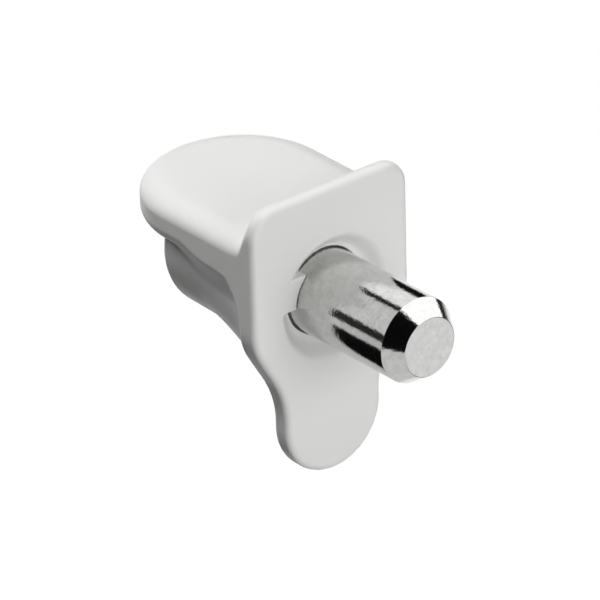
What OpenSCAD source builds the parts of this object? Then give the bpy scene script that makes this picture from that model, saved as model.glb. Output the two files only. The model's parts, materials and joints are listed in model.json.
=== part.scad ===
// Shelf support for a drilled cabinet side: a moulded plastic bracket on a plated steel pin.
// X runs along the pin and away from the bracket, Z is up, and the origin is the point
// where the pin's axis leaves the plate's front face.

/* [Pin] */
// Diameter of the steel pin
pin_d = 5; // [4:0.1:5.2]
// Length of the pin that stands out of the plate
pin_out = 8.1; // [6:0.1:12]
// Length of the pin that is pressed into the boss
pin_in = 6.9; // [5:0.1:7.4]
// Length of the chamfer at each end of the pin
chamfer_len = 1.1; // [0.4:0.1:1.6]
// Diameter of the flat on each end of the pin
tip_d = 3.5; // [2.4:0.1:3.8]
// Taper of the pressed-in length, on the diameter, which starts it easily in its bore
grip_taper = 0.06; // [0.02:0.01:0.1]

/* [Plate] */
// Width of the plate
plate_w = 11.05; // [10.8:0.05:13]
// Thickness of the plate below the shelf
plate_t = 1.4; // [1.3:0.05:1.8]
// Height of the plate's top edge above the pin's axis
plate_top = 6.6; // [6.5:0.05:8]
// Thickness of the lip, which is the part of the plate above the shelf
lip_t = 0.95; // [0.95:0.05:1.3]
// Radius of the plate's top corners
corner_r = 1.7; // [1.5:0.1:2.2]
// Rounding of the plate's front edge
front_r = 0.4; // [0.2:0.05:0.45]
// Rounding of the plate's back edge below the shelf
back_r = 0.5; // [0.2:0.05:0.6]
// Rounding of the lip's back edge
lip_r = 0.5; // [0.3:0.05:0.5]

/* [Tongue] */
// Width of the tongue below the pin
tongue_w = 6.7; // [5.6:0.1:7.4]
// Depth of the tongue's round end below the pin's axis
tongue_drop = 10.85; // [10.6:0.05:14]
// Height at which the plate's sides start to curve in
shoulder_z = -0.75; // [-1.4:0.05:-0.3]
// Radius of the bend at each shoulder
bend_r = 3.5; // [2.5:0.1:4]
// Radius of the bend from each side into the tongue
waist_r = 6; // [3:0.5:7]
// Lean of each side between its bends, in degrees
side_lean = 30; // [26:1:34]

/* [Shelf] */
// Height of the shelf's top above the pin's axis
shelf_top = 4.6; // [4.3:0.05:4.8]
// Thickness of the shelf
shelf_t = 2.6; // [2.3:0.1:3]
// Reach of the shelf behind the plate's front face
shelf_reach = 13.3; // [12:0.05:16]
// Rounding of the shelf's top edge
crest_r = 1.3; // [0.6:0.05:1.3]
// Rounding of the shelf's bottom edge
under_r = 0.95; // [0.3:0.05:1]
// Fillet between the shelf's top and the lip
lip_fillet = 1.1; // [0.8:0.05:1.3]
// Fillet between the shelf's underside and the plate
root_fillet = 1.3; // [0.8:0.05:1.6]

/* [Boss] */
// Radius of the boss at its end
boss_r = 4.62; // [4.5:0.02:4.7]
// Growth of the boss's radius towards the plate, in each millimetre of its length
boss_draft = 0.02; // [0.01:0.01:0.03]
// Height of the boss's own axis above the pin's axis
boss_lift = 0.92; // [0.6:0.02:1.1]
// Reach of the boss behind the plate's front face
boss_reach = 9; // [8.5:0.05:10]
// Rounding of the boss's end
boss_end_r = 0.3; // [0.2:0.05:0.6]
// Length over which the boss spreads into the plate
spread_len = 4.8; // [3:0.1:5.2]
// How much wider the boss is at the plate
spread_r = 0.5; // [0.3:0.05:0.6]
// How much lower the boss's middle is at the plate
spread_sag = 1; // [0.6:0.05:1.2]

/* [Recess] */
// Diameter of the recess round the pin, at the plate's face
recess_d = 8; // [7.6:0.1:8.2]
// Width of the recess's sloping wall
recess_wall = 1; // [0.6:0.05:1.2]
// Depth of the recess's flat floor
recess_depth = 0.75; // [0.4:0.05:0.9]
// Height of the bridge that crosses the recess on one side
bridge_h = 1.9; // [1:0.1:2.2]
// Height of the bridge's middle above the pin's axis
bridge_z = 0.9; // [0:0.1:1.1]

/* [Hidden] */
$fn = 96;
half_w = plate_w / 2;
tongue_r = tongue_w / 2;
shelf_low = shelf_top - shelf_t;
// Centre of the shelf's round end
end_x = half_w - shelf_reach;
// Where the pin's tapered length ends and its inner chamfer starts
grip_x = chamfer_len - pin_in;
// Steps in each arc of the outline, in a rounded edge and in a fillet or spread
arc_steps = 10;
edge_steps = 6;
fillet_steps = 8;
// Sides of the boss where it spreads, and how gently the spread starts
boss_sides = 60;
spread_start = 1.4;
// Steps in the recess's wall
wall_steps = 6;
// How far one form reaches into the next, so that two surfaces never only touch
sink = 0.03;

// Points along an arc, from one angle to another
function arc(centre, r, from, to, steps = arc_steps) =
    [for (i = [0 : steps])
        let (a = from + (to - from) * i / steps)
        centre + r * [cos(a), sin(a)]];

// Right half of the plate's outline as [y, z], from the tongue's end up into the shelf
function low_outline(inset) =
    let (
        bends = bend_r + waist_r,
        lean_len = (half_w - tongue_r - bends * (1 - cos(side_lean))) / sin(side_lean),
        waist_z = shoulder_z - bends * sin(side_lean) - lean_len * cos(side_lean),
        tip_z = min(tongue_r - tongue_drop, waist_z - sink)
    ) concat(
        arc([0, tip_z], tongue_r - inset, -90, 0, 2 * arc_steps),
        arc([tongue_r + waist_r, waist_z], waist_r + inset, 180, 180 - side_lean),
        arc([half_w - bend_r, shoulder_z], bend_r - inset, -side_lean, 0),
        [[half_w - inset, shelf_low + shelf_t / 2]]
    );

// The rest of it: the side of the lip and its top corner
function lip_outline(inset) = concat(
    [[half_w - inset, shelf_low + shelf_t / 2 + sink]],
    arc([half_w - corner_r, plate_top - corner_r], corner_r - inset, 0, 90)
);

// A ring of points round the plate: the right half, then the same points mirrored
function ring(low, low_x, lip, lip_x) =
    let (
        right = concat(
            [for (p = low) [low_x, p[0], p[1]]],
            [for (p = lip) [lip_x, p[0], p[1]]]
        )
    ) concat(right, [for (i = [len(right) - 1 : -1 : 1]) [right[i][0], -right[i][1], right[i][2]]]);

// How far a rounded edge of radius r is moved in and moved back at the angle a
function edge_in(r, a) = r * (1 - sin(a));
function edge_back(r, a) = r * (1 - cos(a));

// Faces that join each ring of n points to the next
function side_faces(rings, n) =
    [for (k = [0 : rings - 2], i = [0 : n - 1])
        let (j = (i + 1) % n)
        [k * n + j, (k + 1) * n + j, (k + 1) * n + i, k * n + i]];

module plate() {
    angles = [for (i = [0 : edge_steps]) 90 * i / edge_steps];
    front = [for (a = angles)
        let (inset = edge_in(front_r, a), x = -edge_back(front_r, a))
        ring(low_outline(inset), x, lip_outline(inset), x)];
    back = [for (i = [edge_steps : -1 : 0]) let (a = angles[i])
        ring(low_outline(edge_in(back_r, a)), edge_back(back_r, a) - plate_t,
            lip_outline(edge_in(lip_r, a)), edge_back(lip_r, a) - lip_t)];
    rings = concat(front, back);
    n = len(rings[0]);
    last = (len(rings) - 1) * n;
    // the back steps in where the lip starts, so it is a ladder of level strips
    ladder = concat(
        [[last, last + 1, last + n - 1]],
        [for (i = [1 : (n - 3) / 2]) [last + i, last + i + 1, last + n - i - 1, last + n - i]]
    );
    polyhedron(
        points = [for (r = rings) each r],
        faces = concat([[for (i = [n - 1 : -1 : 0]) i]], side_faces(len(rings), n), ladder)
    );
}

// Right half of the shelf's cross-section
module half_section() {
    translate([0, shelf_low]) square([half_w - under_r, shelf_t - crest_r]);
    translate([0, shelf_low + under_r]) square([half_w, shelf_t - crest_r - under_r]);
    translate([half_w - under_r, shelf_low + under_r]) circle(under_r);
    translate([0, shelf_top - crest_r]) square([half_w - crest_r, crest_r]);
    translate([half_w - crest_r, shelf_top - crest_r]) circle(crest_r);
}

// The shelf: its section drawn straight back from the plate, then turned round its end
module shelf() {
    translate([end_x, 0, 0]) rotate([90, 0, 90]) linear_extrude(-end_x - lip_t + sink) {
        half_section();
        mirror([1, 0]) half_section();
    }
    translate([end_x, 0, 0]) rotate(90) rotate_extrude(angle = 180) half_section();
}

// Rise of a fillet of radius r over its floor, at the distance d from its wall, where the
// edge beside it is rounded and moved in by inset
function rise(d, r, inset) =
    let (run = max(0, r - d), reach = r + inset)
    run >= reach ? r : r - sqrt(reach * reach - run * run);

// Half width of the plate at the height z
function half_width(z) =
    let (up = max(0, z - plate_top + corner_r))
    half_w - corner_r + sqrt(corner_r * corner_r - up * up);

// Cross-section of the shelf's root at x, where the fillets spread it up and down and the
// rounding of its top edge runs out into that of the lip
function root_ring(x) =
    let (
        out = min(1, max(0, (-lip_t - x) / lip_fillet)),
        r = lip_r + (crest_r - lip_r) * out,
        top = [for (i = [0 : edge_steps])
            let (
                a = 90 * i / edge_steps,
                z = shelf_top - sink + rise(-lip_t - x, lip_fillet, edge_in(r, a))
            )
            [x, min(half_w - edge_back(r, a), half_width(z)), z]],
        low = [for (i = [edge_steps : -1 : 0])
            let (a = 90 * i / edge_steps)
            [x, half_w - edge_back(under_r, a),
                shelf_low + sink - rise(-plate_t - x, root_fillet, edge_in(under_r, a))]],
        right = concat(low, top)
    ) concat(right, [for (i = [len(right) - 1 : -1 : 0]) [x, -right[i][1], right[i][2]]]);

module shelf_root() {
    start = max(lip_t + lip_fillet, plate_t + root_fillet);
    stop = front_r + sink;
    steps = 2 * fillet_steps;
    rings = [for (i = [0 : steps]) root_ring(-stop - (start - stop) * pow(i / steps, 1.4))];
    n = len(rings[0]);
    last = steps * n;
    polyhedron(
        points = [for (r = rings) each r],
        faces = concat([[for (i = [n - 1 : -1 : 0]) i]], side_faces(len(rings), n),
            [[for (i = [0 : n - 1]) last + i]])
    );
}

// Profile of the boss from its own axis out, with its free end at the bottom
module boss_profile() {
    wall = boss_reach - plate_t + sink;
    polygon([[0, boss_end_r], [boss_r, boss_end_r], [boss_r + boss_draft * wall, wall], [0, wall]]);
    square([boss_r - boss_end_r, boss_end_r + sink]);
    translate([boss_r - boss_end_r, boss_end_r]) circle(boss_end_r);
}

// Round the boss at x, where it spreads into the plate
function root_circle(x) =
    let (
        s = max(0, x + plate_t + spread_len) / spread_len,
        spread = pow(s, spread_start),
        r = boss_r + boss_draft * (x + boss_reach) + spread_r * spread - (s > 0 ? 0 : sink)
    ) [for (i = [0 : boss_sides - 1])
        let (a = 360 * i / boss_sides)
        [x, r * cos(a), boss_lift - spread_sag * spread + r * sin(a)]];

module boss_root() {
    stop = plate_t - back_r;
    rings = [for (i = [0 : fillet_steps])
        root_circle(-plate_t - spread_len + (spread_len + plate_t - stop) * i / fillet_steps)];
    last = fillet_steps * boss_sides;
    polyhedron(
        points = [for (r = rings) each r],
        faces = concat([[for (i = [0 : boss_sides - 1]) i]],
            [for (f = side_faces(len(rings), boss_sides)) [f[3], f[2], f[1], f[0]]],
            [[for (i = [boss_sides - 1 : -1 : 0]) last + i]])
    );
}

module boss() {
    low = low_outline(sink);
    // inside the plate's sides and under the shelf's top
    bounds = concat(low, [for (i = [len(low) - 1 : -1 : 1]) [-low[i][0], low[i][1]]]);
    intersection() {
        union() {
            translate([-boss_reach, 0, boss_lift]) rotate([0, 90, 0])
                rotate_extrude() boss_profile();
            boss_root();
        }
        translate([-boss_reach, 0, 0]) rotate([90, 0, 90])
            linear_extrude(boss_reach) polygon(bounds);
    }
}

// A straight hole or rod along the pin's axis
module on_axis(from, d1, d2, to) {
    translate([from, 0, 0]) rotate([0, 90, 0]) cylinder(d1 = d1, d2 = d2, h = to - from);
}

// Diameter of the pin's pressed-in length at x
function grip_d(x) = pin_d - grip_taper * x / grip_x;

// The blind bore, which the pin fills line to line down to its inner chamfer
module bore() {
    on_axis(-pin_in, grip_d(grip_x), grip_d(grip_x), grip_x);
    on_axis(grip_x, grip_d(grip_x), grip_d(sink), sink);
}

// Section of the recess from the pin's axis out, with its floor at the bottom
module recess_section() {
    wall = [for (i = [0 : wall_steps])
        let (t = i / wall_steps)
        [recess_d / 2 - recess_wall * t, -recess_depth * t * t * (3 - 2 * t)]];
    polygon(concat([[0, sink], [recess_d / 2, sink]], wall, [[0, -recess_depth]]));
}

// The recess round the pin, left out where the bridge crosses it
module recess() {
    difference() {
        rotate([0, 90, 0]) rotate_extrude() recess_section();
        translate([-plate_t, -half_w, bridge_z - bridge_h / 2])
            cube([2 * plate_t, half_w, bridge_h]);
    }
}

module bracket() {
    color("white") difference() {
        union() {
            plate();
            shelf();
            shelf_root();
            boss();
        }
        bore();
        recess();
    }
}

module pin() {
    color("silver") {
        on_axis(-pin_in, tip_d, grip_d(grip_x), grip_x);
        on_axis(grip_x, grip_d(grip_x), pin_d, 0);
        on_axis(0, pin_d, pin_d, pin_out - chamfer_len);
        on_axis(pin_out - chamfer_len, pin_d, tip_d, pin_out);
    }
}

bracket();
pin();
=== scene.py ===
import json
import math

import bpy
import numpy as np
from mathutils import Matrix, Vector


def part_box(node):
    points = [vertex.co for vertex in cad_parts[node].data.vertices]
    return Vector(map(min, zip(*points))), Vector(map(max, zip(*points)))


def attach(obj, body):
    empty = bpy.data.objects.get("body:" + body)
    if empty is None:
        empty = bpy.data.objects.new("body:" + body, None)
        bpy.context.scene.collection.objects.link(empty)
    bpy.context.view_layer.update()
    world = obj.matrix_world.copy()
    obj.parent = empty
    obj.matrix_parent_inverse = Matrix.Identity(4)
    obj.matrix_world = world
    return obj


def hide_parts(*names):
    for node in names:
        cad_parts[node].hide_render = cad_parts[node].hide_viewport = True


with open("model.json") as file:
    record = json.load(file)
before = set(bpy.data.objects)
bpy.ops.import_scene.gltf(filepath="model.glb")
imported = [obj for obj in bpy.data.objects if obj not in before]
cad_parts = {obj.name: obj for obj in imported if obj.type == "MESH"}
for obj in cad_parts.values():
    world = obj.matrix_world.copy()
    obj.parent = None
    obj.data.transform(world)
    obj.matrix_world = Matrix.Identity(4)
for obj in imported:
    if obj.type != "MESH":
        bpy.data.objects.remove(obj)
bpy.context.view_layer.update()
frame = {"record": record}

MM = 0.001


# ---------------------------------------------------------------------------------------
# Bracket: plate with its lip and tongue, the seat for the shelf, and the boss for the pin.
# One injection moulding in white ABS. Its outer edges are rounded and its inner corners
# have fillets, so that it fills and leaves its mould well.

box_low, box_high = (np.array(corner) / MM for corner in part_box("bracket"))
pin_low, pin_high = (np.array(corner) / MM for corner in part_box("pin"))
mounts = {mount["name"]: mount for mount in frame["record"]["mounts"]}

half_w = box_high[1]
plate_top = box_high[2]
tongue_bottom = box_low[2]
seat_reach = -box_low[0]
seat_top = mounts["shelf_seat"]["pos_m"][2] / MM
pin_r = mounts["pin"]["dims"]["r_mm"]

# The plate, in millimetres as all of this section
plate_t = 1.4
lip_t = 0.95
corner_r = 1.7
front_r = 0.4
back_r = 0.5
boss_edge_r = 0.2
lip_r = 0.5

# The tongue and the bends of the sides that lead into it
tongue_r = 3.35
shoulder_z = -0.75
bend_r = 3.5
waist_r = 6.0
side_lean = math.radians(30)

# The seat, whose crest is a flat ellipse
seat_t = 2.6
crest_w, crest_h = 1.6, 1.0
under_r = 0.95
crest_run = 0.45
sink_x, sink_r, sink_depth = -6.6, 3.4, 0.06
lip_fillet = 1.1
root_fillet = 1.3

# The boss, which spreads and sinks towards the plate
boss_r = 4.62
boss_draft = 0.02
boss_lift = 0.92
boss_reach = 9.0
boss_end_r = 0.3
spread_len = 4.8
spread_power = 1.4
spread_r = 0.5
spread_sag = 1.0
side_fillet = 1.7
end_fillet = 0.3

# The recess round the pin, and the bridge that crosses it on one side
recess_r = 3.8
recess_y, recess_z = 0.2, -0.2
recess_wall = 1.0
recess_depth = 0.75
recess_slope = 1.5
bridge_h = 1.9
bridge_z = 0.9
bridge_r = 0.12

# The bore's clearance round the pin, and how its mouth is eased
bore_gap = 0.03
mouth_gap = 0.09
mouth_depth = 1.3
mouth_run = 0.3

# The seat's underside, the middle of its round end, and how the sides lean
seat_low = seat_top - seat_t
seat_end_x = half_w - seat_reach
sin_lean, cos_lean = math.sin(side_lean), math.cos(side_lean)
lean = (half_w - tongue_r - (bend_r + waist_r) * (1 - cos_lean)) / sin_lean
waist_z = shoulder_z - (bend_r + waist_r) * sin_lean - lean * cos_lean


def cut_round(a, b, r):
    """Inside both a and b, with the edge between them rounded to the radius r."""
    return np.minimum(np.maximum(a, b), -r) + np.hypot(
        np.maximum(a + r, 0), np.maximum(b + r, 0)
    )


def join_round(a, b, r):
    """Inside a or b, with a fillet of radius r between them."""
    return -cut_round(-a, -b, r)


def ramp(value, start, end):
    """Rises smoothly from 0 to 1 as the value goes from start to end."""
    t = np.clip((value - start) / (end - start), 0, 1)
    return t * t * (3 - 2 * t)


def plate_outline(y, z):
    """Distance to the plate's outline: round top corners, straight sides that bend in at the
    shoulders, lean, bend out at the waist, and end in the tongue's round tip."""
    y = np.abs(y)
    tip_z = tongue_bottom + tongue_r
    from_shoulder = y - half_w + bend_r, z - shoulder_z
    down_side = -from_shoulder[0] * sin_lean - from_shoulder[1] * cos_lean
    corner_y, corner_z = y - half_w + corner_r, z - plate_top + corner_r
    return np.select(
        [z > shoulder_z, down_side < 0, down_side < lean, z > waist_z, z > tip_z],
        [
            np.hypot(np.maximum(corner_y, 0), np.maximum(corner_z, 0))
            + np.minimum(np.maximum(corner_y, corner_z), 0)
            - corner_r,
            np.hypot(*from_shoulder) - bend_r,
            from_shoulder[0] * cos_lean - from_shoulder[1] * sin_lean - bend_r,
            waist_r - np.hypot(y - tongue_r - waist_r, z - waist_z),
            y - tongue_r,
        ],
        np.hypot(y, z - tip_z) - tongue_r,
    )


def bracket_form(x, y, z):
    """Distance to the moulding's surface, negative inside it."""
    seat_plan = np.hypot(np.minimum(x - seat_end_x, 0), y) - half_w
    side = np.maximum(plate_outline(y, z), seat_plan)
    solid = cut_round(side, x, front_r)

    # the seat's top sinks a little over the thick boss and runs up into the lip, and the
    # ellipse of its crest turns into the lip's plain round
    sunk = sink_depth * ramp(sink_r - np.hypot(x - sink_x, y), 0, sink_r)
    above = join_round(-lip_t - x, z - seat_top + sunk, lip_fillet)
    on_seat = ramp(-x, lip_t - crest_run / 3, lip_t + crest_run)
    top_w = lip_r + (crest_w - lip_r) * on_seat
    top_h = lip_r + (crest_h - lip_r) * on_seat
    solid = np.where(above > -top_h, cut_round(solid * top_h / top_w, above, top_h), solid)

    # the seat's underside, the plate's back and the boss run into each other
    plate_back = -plate_t - x
    seat_under = seat_low - z
    spread = (np.maximum(x + plate_t + spread_len, 0) / spread_len) ** spread_power
    boss_side = boss_r + boss_draft * (x + boss_reach) + spread_r * spread
    boss = np.hypot(y, z - boss_lift + spread_sag * spread) - boss_side
    boss = cut_round(boss, -boss_reach - x, boss_end_r)
    fillet = end_fillet + (side_fillet - end_fillet) * ramp(x, -boss_reach, -boss_reach / 2)
    seat = join_round(cut_round(solid, seat_under, under_r), boss, fillet)
    edge_fall = ramp(z, waist_z, shoulder_z - bend_r / 2)
    plate = cut_round(solid, plate_back, back_r + (boss_edge_r - back_r) * edge_fall)
    root = end_fillet + (root_fillet - end_fillet) * ramp(z, seat_low - 2 * root_fillet, seat_low)
    solid = np.maximum(solid, join_round(plate, seat, root))

    # the recess round the pin, with a flat floor, and the bridge that crosses it
    radius = np.hypot(y, z)
    recess_radius = np.hypot(y - recess_y, z - recess_z)
    recess = x + recess_depth * ramp(recess_r - recess_radius, 0, recess_wall)
    bridge = np.maximum(cut_round(np.abs(z - bridge_z) - bridge_h / 2, x, bridge_r), y)
    solid = np.maximum(solid, np.minimum(recess / recess_slope, bridge))

    # the bore's mouth is eased at the recess floor, and the bridge stays close to the pin
    eased = ramp(x, -mouth_depth, -recess_depth) * ramp(bridge, 0, mouth_run)
    gap = bore_gap + (mouth_gap - bore_gap) * eased
    bore = np.maximum(radius - pin_r - gap, pin_low[0] - x)
    return np.maximum(solid, -bore)


def spaced(stops):
    """Grid places along one axis from stops of (place, spacing up to the next stop)."""
    runs = [
        np.linspace(start, end, round((end - start) / step), endpoint=False)
        for (start, step), (end, _) in zip(stops, stops[1:])
    ]
    return np.concatenate([*runs, [stops[-1][0]]])


# How many times each vertex is moved onto the surface, the least slope that a move is
# divided by, and how far to either side of a place its slope and its normal are taken
surface_moves = 4
least_slope = 0.5
slope_reach = 0.001
normal_reach = 0.02


def skin(form, xs, ys, zs):
    """Vertices, quads and normals of the surface of a form, found on a grid: one vertex in each
    cell that the surface crosses, moved onto the surface along the form's own slope."""
    grid = np.meshgrid(xs, ys, zs, indexing="ij")
    value = form(*grid)
    inside = value < 0
    shape = np.array(inside.shape)
    corners = [(i, j, k) for i in (0, 1) for j in (0, 1) for k in (0, 1)]

    def corner(field, c):
        return field[tuple(slice(o, n - 1 + o) for o, n in zip(c, shape))]

    count = sum(corner(inside, c).astype(np.int8) for c in corners)
    cells = np.argwhere((count > 0) & (count < 8))
    number = np.full(shape - 1, -1)
    number[tuple(cells.T)] = np.arange(len(cells))

    places = np.zeros((len(cells), 3))
    crossings = np.zeros((len(cells), 1))
    for axis in range(3):
        step = np.eye(3, dtype=int)[axis]
        for c in corners:
            if c[axis]:
                continue
            a, b = cells + c, cells + c + step
            va, vb = value[tuple(a.T)], value[tuple(b.T)]
            crossed = (va < 0) != (vb < 0)
            t = np.where(crossed, va / np.where(crossed, va - vb, 1), 0)[:, None]
            pa = np.stack([g[tuple(a.T)] for g in grid], 1)
            pb = np.stack([g[tuple(b.T)] for g in grid], 1)
            places += crossed[:, None] * (pa + t * (pb - pa))
            crossings += crossed[:, None]
    places /= crossings

    quads = []
    for axis in range(3):
        u, v = (axis + 1) % 3, (axis + 2) % 3
        step, along_u, along_v = np.eye(3, dtype=int)[[axis, u, v]]
        here = inside[tuple(slice(0, n - (i == axis)) for i, n in enumerate(shape))]
        there = inside[tuple(slice(i == axis, n) for i, n in enumerate(shape))]
        edges = np.argwhere(here != there)
        edges = edges[(edges[:, u] > 0) & (edges[:, v] > 0)]
        out = here[tuple(edges.T)]
        ring = [edges, edges - along_u, edges - along_u - along_v, edges - along_v]
        quad = np.stack([number[tuple(r.T)] for r in ring], 1)
        quad[~out] = quad[~out][:, ::-1]
        quads.append(quad)

    def slope(p, reach):
        return np.stack(
            [
                (form(*(p + reach * d).T) - form(*(p - reach * d).T)) / (2 * reach)
                for d in np.eye(3)
            ],
            1,
        )

    for _ in range(surface_moves):
        s = slope(places, slope_reach)
        places -= (form(*places.T) / np.maximum((s * s).sum(1), least_slope**2))[:, None] * s
    normals = slope(places, normal_reach)
    normals /= np.linalg.norm(normals, axis=1)[:, None]
    return places, np.concatenate(quads).tolist(), normals


def new_piece(name, places, faces, normals):
    """A piece from places in millimetres, with smooth shading from its own normals."""
    mesh = bpy.data.meshes.new(name)
    mesh.from_pydata((places * MM).tolist(), [], faces)
    mesh.polygons.foreach_set("use_smooth", np.ones(len(mesh.polygons), bool))
    mesh.normals_split_custom_set_from_vertices(normals.tolist())
    piece = bpy.data.objects.new(name, mesh)
    bpy.context.scene.collection.objects.link(piece)
    return piece


# The grid along each axis, finer at the round edges, the recess and the boss's end
x_stops = [(-13.45, 0.1), (-12, 0.16), (-9.3, 0.12), (-8.6, 0.16), (-4, 0.1), (-2, 0.07), (0.15, 0)]
y_stops = [(-5.7, 0.08), (-4.4, 0.11), (-1.4, 0.11), (4.4, 0.08), (5.72, 0)]
z_stops = [(-11.1, 0.11), (-0.4, 0.08), (2.2, 0.09), (6.9, 0)]

bracket = new_piece(
    "bracket_moulding", *skin(bracket_form, spaced(x_stops), spaced(y_stops), spaced(z_stops))
)


def node(tree, kind, settings=(), links=()):
    """Adds a node with its settings, and links other sockets to its inputs."""
    new = tree.nodes.new(kind)
    for name, value in dict(settings).items():
        if isinstance(name, int) or name in new.inputs:
            new.inputs[name].default_value = value
        else:
            setattr(new, name, value)
    for name, socket in dict(links).items():
        tree.links.new(socket, new.inputs[name])
    return new


def new_material(name):
    """An empty material and its node tree."""
    material = bpy.data.materials.new(name)
    material.use_nodes = True
    material.node_tree.nodes.clear()
    return material, material.node_tree


def colour(hex_code):
    """Linear colour from an sRGB hex code."""
    parts = [int(hex_code[i : i + 2], 16) / 255 for i in (1, 3, 5)]
    return [*(p / 12.92 if p <= 0.04045 else ((p + 0.055) / 1.055) ** 2.4 for p in parts), 1]


def moulded_abs():
    """White ABS off a satin mould: a soft sheen, light that spreads a little under the skin,
    and the fine grain of the spark-eroded steel, drawn as coarse as it needs to be to show."""
    material, tree = new_material("moulded_white_abs")
    place = node(tree, "ShaderNodeTexCoord").outputs["Object"]
    grain_w, grain_h, light_depth = 0.12, 0.01, 0.5
    grain = node(
        tree, "ShaderNodeTexNoise", {"Scale": 1 / (grain_w * MM), "Detail": 3}, {"Vector": place}
    )
    bump = node(
        tree,
        "ShaderNodeBump",
        {"Strength": 0.12, "Distance": grain_h * MM},
        {"Height": grain.outputs["Fac"]},
    )
    shader = node(
        tree,
        "ShaderNodeBsdfPrincipled",
        {
            "Base Color": colour("#f0f0ef"),
            "Roughness": 0.42,
            "IOR": 1.53,
            "Subsurface Weight": 0.12,
            "Subsurface Radius": (1, 1, 1),
            "Subsurface Scale": light_depth * MM,
        },
        {"Normal": bump.outputs["Normal"]},
    )
    node(tree, "ShaderNodeOutputMaterial", (), {"Surface": shader.outputs["BSDF"]})
    return material


bracket.data.materials.append(moulded_abs())
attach(bracket, "root")
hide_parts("bracket")


# ---------------------------------------------------------------------------------------
# Pin: turned from 5 mm steel bar with a chamfer at both ends, barrel-plated with bright
# nickel, and pressed into the boss.

# It narrows to grip_r towards its inner end, and a disc of disc_r closes each end
chamfer_len = 1.1
tip_r = 1.75
edge_r = 0.09
grip_r = 2.47
disc_r = 1.2
pin_sides = 256
edge_steps = 6


def rounded(path, r, steps):
    """Points and normals along a profile of (x, radius), rounded at every corner between its
    two ends."""
    points, normals = [], []
    for i, here in enumerate(path):
        before = here - path[i - 1] if i else None
        after = path[i + 1] - here if i + 1 < len(path) else None
        ways = [w / np.linalg.norm(w) for w in (before, after) if w is not None]
        sides = [np.array([-w[1], w[0]]) for w in ways]
        if len(ways) == 1:
            points.append(here)
            normals.append(sides[0])
            continue
        half_turn = math.acos(np.clip(ways[0] @ ways[1], -1, 1)) / 2
        start = here - ways[0] * r * math.tan(half_turn)
        centre = start - sides[0] * r
        for t in np.linspace(0, 1, steps + 1):
            weights = [math.sin(2 * half_turn * share) for share in (1 - t, t)]
            n = sides[0] * weights[0] + sides[1] * weights[1]
            n = n / np.linalg.norm(n)
            points.append(centre + n * r)
            normals.append(n)
    return np.array(points), np.array(normals)


def turned(path, normals, sides):
    """Places, faces and normals of a profile turned about X, closed by a disc at each end."""
    angle = np.linspace(0, 2 * math.pi, sides, endpoint=False)
    cos, sin = np.cos(angle), np.sin(angle)
    x, r = path[:, :1], path[:, 1:]
    places = np.stack([x + 0 * cos, r * cos, r * sin], 2).reshape(-1, 3)
    nx, nr = normals[:, :1], normals[:, 1:]
    normals = np.stack([nx + 0 * cos, nr * cos, nr * sin], 2).reshape(-1, 3)
    i, j = np.meshgrid(np.arange(len(path) - 1), np.arange(sides), indexing="ij")
    a, b = i * sides + j, i * sides + (j + 1) % sides
    quads = np.stack([a, b, b + sides, a + sides], 2).reshape(-1, 4)
    first, last = list(range(sides)), list(range((len(path) - 1) * sides, len(path) * sides))
    return places, [*quads.tolist(), first[::-1], last], normals


pin_path = np.array(
    [
        [pin_low[0], disc_r],
        [pin_low[0], tip_r],
        [pin_low[0] + chamfer_len, grip_r],
        [0, pin_r],
        [pin_high[0] - chamfer_len, pin_r],
        [pin_high[0], tip_r],
        [pin_high[0], disc_r],
    ]
)
pin = new_piece("pin_turned", *turned(*rounded(pin_path, edge_r, edge_steps), pin_sides))


def bright_nickel():
    """Bright nickel over turned steel: a near mirror, clouded a little by the barrel, with the
    fine orange peel of the plating."""
    material, tree = new_material("bright_nickel_plate")
    place = node(tree, "ShaderNodeTexCoord").outputs["Object"]
    peel_w, peel_h, cloud_w = 0.16, 0.009, 0.45
    peel = node(
        tree, "ShaderNodeTexNoise", {"Scale": 1 / (peel_w * MM), "Detail": 3}, {"Vector": place}
    )
    bump = node(
        tree,
        "ShaderNodeBump",
        {"Strength": 0.8, "Distance": peel_h * MM},
        {"Height": peel.outputs["Fac"]},
    )
    cloud = node(
        tree,
        "ShaderNodeTexNoise",
        {"Scale": 1 / (cloud_w * MM), "Detail": 5, "Roughness": 0.7},
        {"Vector": place},
    )
    tint = node(
        tree,
        "ShaderNodeMix",
        {"data_type": "RGBA", "clamp_factor": True, 6: colour("#a9a9a7"), 7: colour("#e6e6e4")},
        {0: cloud.outputs["Fac"]},
    )
    shader = node(
        tree,
        "ShaderNodeBsdfPrincipled",
        {"Metallic": 1.0, "Roughness": 0.1},
        {"Base Color": tint.outputs[2], "Normal": bump.outputs["Normal"]},
    )
    node(tree, "ShaderNodeOutputMaterial", (), {"Surface": shader.outputs["BSDF"]})
    return material


pin.data.materials.append(bright_nickel())
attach(pin, "root")
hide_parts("pin")


# ---------------------------------------------------------------------------------------
# Studio: a white floor, a soft lamp high behind the part, one in front of it and a weak one
# low in front, and cards round it that only the metal sees. The dark cards give the bright
# pin its dark lines.

floor_drop = 330.0
floor_r = 1500.0
floor_grey = 0.2
surround_grey = 0.02
lamp_size = 260.0
lamp_distance = 340.0
white = colour("#ffffff")


def card_paper(name, grey):
    """A plain grey that gives its own light."""
    material, tree = new_material(name)
    glow = node(tree, "ShaderNodeEmission", {"Color": (grey, grey, grey, 1)})
    node(tree, "ShaderNodeOutputMaterial", (), {"Surface": glow.outputs["Emission"]})
    return material


def in_view(tree):
    """1 for what the camera sees, directly or reflected, and 0 for what lights the part."""
    path = node(tree, "ShaderNodeLightPath")
    return node(
        tree,
        "ShaderNodeMath",
        {"operation": "MAXIMUM"},
        {0: path.outputs["Is Camera Ray"], 1: path.outputs["Is Glossy Ray"]},
    )


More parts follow.
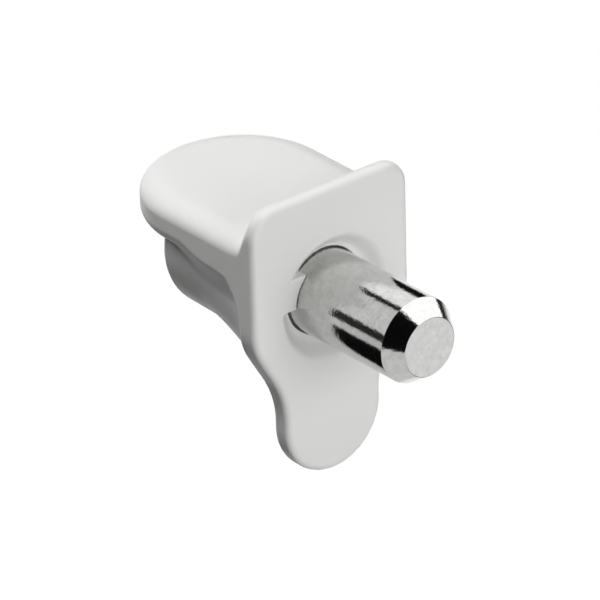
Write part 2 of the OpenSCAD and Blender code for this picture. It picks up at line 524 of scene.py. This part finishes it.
def white_floor():
    """White to the camera and in reflections, so that no shadow shows on it. It throws light
    back like a mid grey, so that the underside of the part stays in shade."""
    material, tree = new_material("white_floor")
    seen = in_view(tree)
    lit = node(tree, "ShaderNodeBsdfDiffuse", {"Color": (floor_grey, floor_grey, floor_grey, 1)})
    glow = node(tree, "ShaderNodeEmission", {"Color": white})
    both = node(tree, "ShaderNodeAddShader", (), {0: lit.outputs[0], 1: glow.outputs[0]})
    mix = node(
        tree, "ShaderNodeMixShader", (), {0: seen.outputs[0], 1: lit.outputs[0], 2: both.outputs[0]}
    )
    node(tree, "ShaderNodeOutputMaterial", (), {"Surface": mix.outputs[0]})
    return material


def stage_piece(name, places, faces, material):
    """A piece of the studio, which isn't part of the object."""
    mesh = bpy.data.meshes.new(name)
    mesh.from_pydata([tuple(p * MM for p in place) for place in places], [], faces)
    mesh.materials.append(material)
    piece = bpy.data.objects.new(name, mesh)
    bpy.context.scene.collection.objects.link(piece)
    return piece


floor_z = box_low[2] - floor_drop
floor_corners = ((-1, -1), (1, -1), (1, 1), (-1, 1))
stage_piece(
    "floor",
    [(x * floor_r, y * floor_r, floor_z) for x, y in floor_corners],
    [(0, 1, 2, 3)],
    white_floor(),
)

# Cards that only the metal sees: the angle about the pin at which each starts and ends,
# from +Y up over +Z, its start and end along X, and its grey. Those behind the part show in
# the pin's round side, and those in front of it in its chamfer. Each is bent from flat
# strips, with an edge for every card_step degrees.
card_distance = 300.0
card_step = 4
behind, in_front, far_front = (-600, -130), (-120, 500), (60, 500)
cards = {
    "flag_right": (0, 32, behind, 0.004),
    "panel_top": (32, 86, behind, 1.2),
    "flag_top": (86, 99, behind, 0.01),
    "panel_left": (99, 167, behind, 0.8),
    "flag_left": (167, 188, behind, 0.025),
    "panel_low": (188, 207, behind, 0.7),
    "flag_low": (207, 268, behind, 0.004),
    "panel_edge": (-30, -6, in_front, 0.4),
    "flag_edge": (-6, 9, in_front, 0.03),
    "softbox": (9, 97, in_front, 1.7),
    "flag_front": (97, 195, in_front, 0.004),
    "panel_front": (195, 288, in_front, 0.8),
    "flag_rim": (288, 306, far_front, 0.1),
}
for name, (start, end, along, grey) in cards.items():
    angles = np.radians(np.linspace(start, end, max(2, (end - start) // card_step)))
    places = [
        (x, card_distance * math.cos(a), card_distance * math.sin(a)) for a in angles for x in along
    ]
    faces = [(2 * i, 2 * i + 1, 2 * i + 3, 2 * i + 2) for i in range(len(angles) - 1)]
    card = stage_piece(name, places, faces, card_paper(name, grey))
    card.visible_camera = False
    card.visible_diffuse = False
    card.visible_shadow = False
    card.visible_transmission = False
    card.visible_volume_scatter = False


def lamp(name, azimuth, elevation, watts):
    """A square soft light that faces the part and isn't seen in it. Its place is given in
    degrees, from +X towards +Y and up."""
    data = bpy.data.lights.new(name, "AREA")
    data.size = lamp_size * MM
    data.energy = watts
    light = bpy.data.objects.new(name, data)
    turn, rise = math.radians(azimuth), math.radians(elevation)
    way = (math.cos(rise) * math.cos(turn), math.cos(rise) * math.sin(turn), math.sin(rise))
    light.location = Vector(way) * lamp_distance * MM
    light.rotation_euler = (-light.location).to_track_quat("-Z", "Y").to_euler()
    light.visible_glossy = False
    bpy.context.scene.collection.objects.link(light)


lamp("back_light", 210, 60, 1.14)
lamp("front_light", 0, 10, 0.82)
lamp("low_light", 0, -20, 0.15)

# The surroundings, white to the camera and in reflections, give the part almost no light
world = bpy.data.worlds.new("studio")
bpy.context.scene.world = world
world.use_nodes = True
tree = world.node_tree
tree.nodes.clear()
seen = in_view(tree)
around_grey = (surround_grey, surround_grey, surround_grey, 1)
around = node(tree, "ShaderNodeBackground", {"Color": around_grey})
backdrop = node(tree, "ShaderNodeBackground", {"Color": white})
mix = node(
    tree,
    "ShaderNodeMixShader",
    (),
    {0: seen.outputs[0], 1: around.outputs[0], 2: backdrop.outputs[0]},
)
node(tree, "ShaderNodeOutputWorld", (), {"Surface": mix.outputs[0]})


# ---------------------------------------------------------------------------------------
# Camera: a long lens from the front right, a little above the part and a little tilted.

azimuth, elevation, tilt = (math.radians(a) for a in (50.72, 28.09, -1.42))
distance = 400.0
focal = 440.8
# from the middle of the view to the part's origin, to the right and up
origin_right, origin_up = 1.775, 0.285

back = Vector(
    (
        math.sin(azimuth) * math.cos(elevation),
        -math.cos(azimuth) * math.cos(elevation),
        math.sin(elevation),
    )
)
level = Vector((math.cos(azimuth), math.sin(azimuth), 0))
right = math.cos(tilt) * level + math.sin(tilt) * back.cross(level)
up = back.cross(right)
camera_data = bpy.data.cameras.new("camera")
camera_data.lens = focal
camera_data.sensor_width = 36
camera_data.clip_start = 0.01
camera_data.clip_end = 5
camera = bpy.data.objects.new("camera", camera_data)
place = (back * distance - right * origin_right - up * origin_up) * MM
camera.matrix_world = Matrix.Translation(place) @ Matrix((right, up, back)).transposed().to_4x4()
bpy.context.scene.collection.objects.link(camera)
bpy.context.scene.camera = camera
bpy.context.scene.view_settings.view_transform = "Standard"
